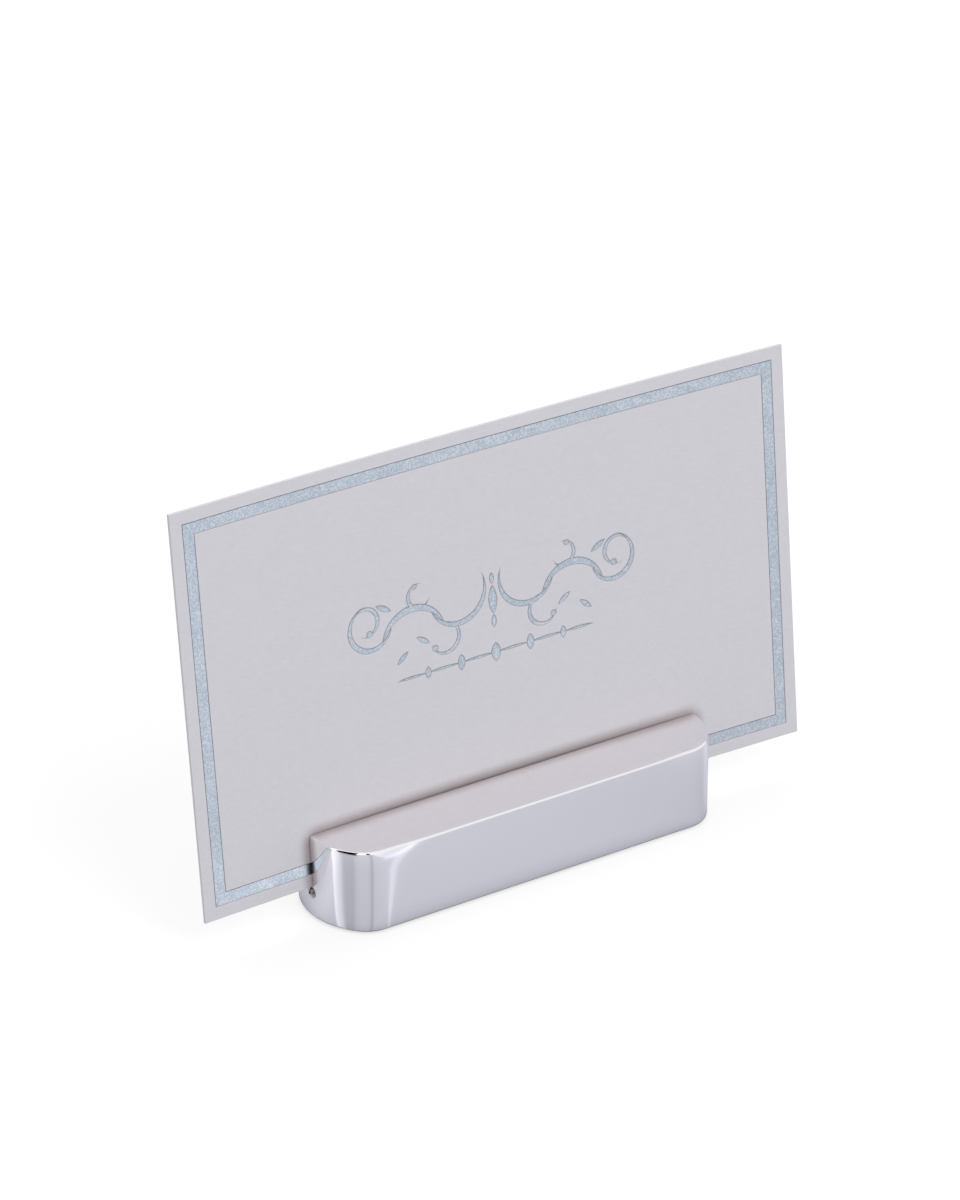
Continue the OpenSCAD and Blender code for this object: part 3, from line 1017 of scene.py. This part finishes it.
def painted_floor_light(pen, place, s, plan):
    """Painted light and shade on the floor, for what the polished ends and the lamps' frames would
    throw on it, as shares of the floor's plain level: streaks that fan out from under each corner
    of the block and bend a little on their way, a glow and a dark patch further out, which only
    the worn edges mirror, and a painted shade round the foot.

    The share depends on the turn about the corner, which is the arctangent of how far a place
    lies past the centre to the front, or the back, over how far it lies past it sideways. One
    pair of opposite corners has sharp streaks, and the other pair has soft ones.
    """
    part = pen.add("SeparateXYZ", {"Vector": place})
    x, y = part.outputs["X"], part.outputs["Y"]
    size_x, size_y = pen.maths("ABSOLUTE", x), pen.maths("ABSOLUTE", y)
    past_x = pen.maths("SUBTRACT", size_x, s.streak_centre[0])
    widening = pen.maths("MAXIMUM", pen.maths("SUBTRACT", size_y, GLOW_WIDENS), 0.0)
    inner_x = pen.maths("MULTIPLY_ADD", widening, -GLOW_SPREAD, size_x)
    across, along = span_ramp(pen, inner_x, GLOW_ACROSS), span_ramp(pen, size_y, GLOW_ALONG)
    glow = pen.maths("MULTIPLY_ADD", across, along, 1.0)
    reach = pen.add("VectorMath", {0: place}, operation="LENGTH").outputs["Value"]
    bend = pen.spread(reach, *BEND_REACH, 0.0, STREAK_BEND / 360)
    dark_reach = pen.spread(reach, *DARK_REACH)
    found = []
    for side in (-1.0, 1.0):
        past_y = pen.maths("MULTIPLY_ADD", y, side, -s.streak_centre[1])
        turn = pen.maths("ARCTAN2", past_y, past_x)
        share = pen.maths("MULTIPLY_ADD", turn, 0.5 / math.pi, 0.5)
        bends = pen.spread(share, *map(turn_share, BEND_TURNS))
        sharp = turn_ramp(pen, pen.maths("MULTIPLY_ADD", bend, bends, share), SHARP_STREAKS)
        dark = pen.maths("MULTIPLY", turn_ramp(pen, share, FAR_PAINTED_DARK), dark_reach)
        sharp = pen.times(sharp, pen.maths("SUBTRACT", 1.0, dark))
        is_sharp = pen.maths("GREATER_THAN", pen.maths("MULTIPLY", x, side), 0.0)
        found.append(pen.mix(is_sharp, turn_ramp(pen, share, SOFT_STREAKS), sharp))
    streaks = pen.times(pen.mix(pen.spread(y, *BACK_SPAN), *found), glow)
    foot = foot_distance(pen, size_x, size_y, plan)
    return pen.times(streaks, span_ramp(pen, foot, FOOT_PAINTED_SHADE))


def floor_material(s, plan):
    """Pale floor: plain grey for the light, with painted light streaks and painted shade that only
    the metal mirrors, and lifted to white where the camera sees it, with the object's shadow."""
    material, pen, place = new_material("studio_floor")
    ray = pen.add("LightPath").outputs
    plain = rgba(s.floor_colour)
    mirrored = pen.times(plain, painted_floor_light(pen, place, s, plan))
    shade = pen.mix(ray["Is Glossy Ray"], plain, mirrored)
    faint = pen.add("BsdfDiffuse", {"Color": rgba([FLOOR_FAINT] * 3)})
    light = pen.add("Emission", {"Color": WHITE, "Strength": FLOOR_LIGHT})
    lifted = pen.add("AddShader", {0: faint, 1: light})
    values = {0: ray["Is Camera Ray"], 1: pen.add("BsdfDiffuse", {"Color": shade}), 2: lifted}
    pen.add("OutputMaterial", {"Surface": pen.add("MixShader", values)})
    return material


# Stage

# A dark doorway and a dark stand in the mirrored studio, both on the left, as upright ellipses:
# the (turn, rise) of the middle and half the size, in degrees
DOORWAY, STAND = ((15, 25), (16, 44)), ((71, 29), (7, 25))
# The studio's tint, and its level from the left to the right, over a span of a direction's X
STUDIO_TINT = (0.97, 1.0, 1.0, 1.0)
STUDIO_SPAN, STUDIO_LEVEL = (-0.8, 0.6), (1.05, 0.86)
# What the lamps, which the metal doesn't mirror, would add to the light that the block throws
# back onto the card
BOUNCE = 0.33
# How far the floor lies below the pad
FLOOR_GAP = 0.01 * MM
# Places and side of the two square lamps, in metres
BACK_LAMP, FRONT_LAMP, LAMP_SIDE = (0.10, 0.35, 0.90), (0.15, -0.75, 0.75), 0.7


def sky_patch(pen, turn, rise, centre, half_size):
    """1 inside an upright ellipse of the sky and 0 outside, with a soft edge. The centre and
    the half size are (turn, rise) in degrees."""
    terms = []
    for value, middle, half in zip((turn, rise), centre, half_size):
        offset = pen.maths("SUBTRACT", value, math.radians(middle))
        terms.append(pen.maths("POWER", pen.maths("DIVIDE", offset, math.radians(half)), 2.0))
    return pen.spread(pen.maths("ADD", *terms), 1.2, 0.8)


def studio_sky(s):
    """World: an even soft light, and white where the camera looks past the floor. The metal
    mirrors a bright studio that is a little darker to the right, with its two dark places.

    The turn of a direction is measured from the left towards the front, and its rise from the
    horizon.
    """
    world = bpy.data.worlds.new("studio_sky")
    world.use_nodes = True
    pen = Pen(world.node_tree)
    part = pen.add("SeparateXYZ", {"Vector": pen.add("TexCoord").outputs["Generated"]})
    x, y, z = (part.outputs[axis] for axis in "XYZ")
    turn = pen.maths("ARCTAN2", pen.maths("MULTIPLY", y, -1.0), pen.maths("MULTIPLY", x, -1.0))
    rise = pen.maths("ARCSINE", z)
    places = [sky_patch(pen, turn, rise, *patch) for patch in (DOORWAY, STAND)]
    open_share = pen.maths("SUBTRACT", 1.0, pen.maths("MAXIMUM", *places))
    level = pen.maths("MULTIPLY", pen.spread(x, *STUDIO_SPAN, *STUDIO_LEVEL), open_share)
    ray = pen.add("LightPath").outputs
    bounced = pen.maths("GREATER_THAN", ray["Diffuse Depth"], 0.5)
    bright = pen.maths("MULTIPLY_ADD", bounced, BOUNCE, level)
    studio = pen.add("Background", {"Color": STUDIO_TINT, "Strength": bright})
    soft = pen.add("Background", {"Color": WHITE, "Strength": s.sky_strength})
    white = pen.add("Background", {"Color": WHITE, "Strength": 1.0})
    mirrored = pen.add("MixShader", {0: ray["Is Glossy Ray"], 1: soft, 2: studio})
    surface = pen.add("MixShader", {0: ray["Is Camera Ray"], 1: mirrored, 2: white})
    pen.add("OutputWorld", {"Surface": surface})
    bpy.context.scene.world = world


def studio_floor(s, plan):
    """Floor: a flat square a hair below the pad, so that the two don't share a plane."""
    half = s.floor_size / 2
    signs = ((-1, -1), (1, -1), (1, 1), (-1, 1))
    corners = [(half * x, half * y, -FLOOR_GAP) for x, y in signs]
    mesh = bpy.data.meshes.new("studio_floor")
    mesh.from_pydata(corners, [], [(0, 1, 2, 3)])
    mesh.materials.append(floor_material(s, plan))
    placed("studio_floor", mesh)


def studio_lamp(name, place, power):
    """A square soft lamp that faces the origin. The metal mirrors the sky in its place."""
    lamp = bpy.data.lights.new(name, "AREA")
    lamp.shape = "SQUARE"
    lamp.size = LAMP_SIDE
    lamp.energy = power
    item = placed(name, lamp)
    item.location = place
    item.rotation_euler = (-Vector(place)).to_track_quat("-Z", "Y").to_euler()
    item.visible_glossy = False


def studio_camera(s):
    """Camera: it stands at a turn, a rise and a distance from its target, and faces it."""
    turn, rise = s.camera_turn, s.camera_rise
    level = math.cos(rise)
    back = Vector((math.sin(turn) * level, -math.cos(turn) * level, math.sin(rise)))
    camera = bpy.data.cameras.new("studio_camera")
    camera.lens = s.lens
    camera.clip_start = 10 * MM
    camera.clip_end = 100.0
    item = placed("studio_camera", camera)
    item.location = Vector(s.camera_target) + back * s.camera_distance
    item.rotation_euler = (-back).to_track_quat("-Z", "Y").to_euler()
    bpy.context.scene.camera = item


# Operators: one for each piece, and one for the stage


class CARDHOLDER_OT_block(Operator):
    """Builds the polished metal block with its slot, channel and recess"""

    bl_idname = "cardholder.block"
    bl_label = "Metal Block"

    def execute(self, context):
        s = settings()
        patches = block_patches(s.block, s.card)
        material = metal_material(s.finish, s.block, s.card)
        make_piece("polished_block", patches, material, "holder", "holder_block")
        return {"FINISHED"}


class CARDHOLDER_OT_pad(Operator):
    """Builds the felt pad that the block stands on"""

    bl_idname = "cardholder.pad"
    bl_label = "Base Pad"

    def execute(self, context):
        s = settings()
        material = felt_material(s.finish)
        make_piece("felt_pad", pad_patches(s.block), material, "holder", "base_pad")
        return {"FINISHED"}


class CARDHOLDER_OT_card(Operator):
    """Builds the bowed paper card with its pressed places"""

    bl_idname = "cardholder.card"
    bl_label = "Paper Card"

    def execute(self, context):
        s = settings()
        patches, pressed = card_patches(s.block, s.card)
        material = paper_material(s.finish)
        # The pressed mark is the painted shade of the pressed shoulders
        mark = ("pressed", pressed)
        make_piece("paper_card", patches, material, "card", "place_card", mark)
        return {"FINISHED"}


class CARDHOLDER_OT_foil(Operator):
    """Builds the foil frame and gives the foil ornament the same foil"""

    bl_idname = "cardholder.foil"
    bl_label = "Pressed Foil"

    def execute(self, context):
        s = settings()
        material = foil_material(s.finish)
        patches = band_patches(s.block, s.card)
        make_piece("foil_band", patches, material, "card", "foil_frame")
        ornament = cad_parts["foil_ornament"]
        ornament.data.materials.clear()
        ornament.data.materials.append(material)
        return {"FINISHED"}


class CARDHOLDER_OT_stage(Operator):
    """Sets up the floor, the soft light and the camera"""

    bl_idname = "cardholder.stage"
    bl_label = "Studio"

    def execute(self, context):
        s = settings().studio
        context.scene.view_settings.view_transform = "Standard"
        studio_sky(s)
        studio_floor(s, block_plan(settings().block))
        studio_lamp("back_lamp", BACK_LAMP, s.back_strength)
        studio_lamp("front_lamp", FRONT_LAMP, s.front_strength)
        studio_camera(s)
        return {"FINISHED"}


class VIEW3D_PT_card_holder(Panel):
    """Lists the settings and the pieces of the place card holder"""

    bl_label = "Place Card Holder"
    bl_space_type = "VIEW_3D"
    bl_region_type = "UI"
    bl_category = "Card Holder"

    def draw(self, context):
        s = context.scene.card_holder
        for group in (s.block, s.card, s.finish, s.studio):
            box = self.layout.box()
            for name in type(group).__annotations__:
                box.prop(group, name)
        for operator in OPERATORS:
            self.layout.operator(operator.bl_idname)


OPERATORS = (
    CARDHOLDER_OT_stage,
    CARDHOLDER_OT_block,
    CARDHOLDER_OT_pad,
    CARDHOLDER_OT_card,
    CARDHOLDER_OT_foil,
)
CLASSES = (
    BlockSizes,
    CardSizes,
    Finishes,
    Studio,
    CardHolderSettings,
    *OPERATORS,
    VIEW3D_PT_card_holder,
)


def register():
    """Registers the classes and the scene's settings."""
    for item in CLASSES:
        bpy.utils.register_class(item)
    bpy.types.Scene.card_holder = PointerProperty(type=CardHolderSettings)


def unregister():
    """Takes away what register added."""
    del bpy.types.Scene.card_holder
    for item in reversed(CLASSES):
        bpy.utils.unregister_class(item)


def main():
    """Builds the stage and every piece."""
    register()
    bpy.ops.cardholder.stage()
    bpy.ops.cardholder.block()
    bpy.ops.cardholder.pad()
    bpy.ops.cardholder.card()
    bpy.ops.cardholder.foil()


if __name__ == "__main__":
    main()
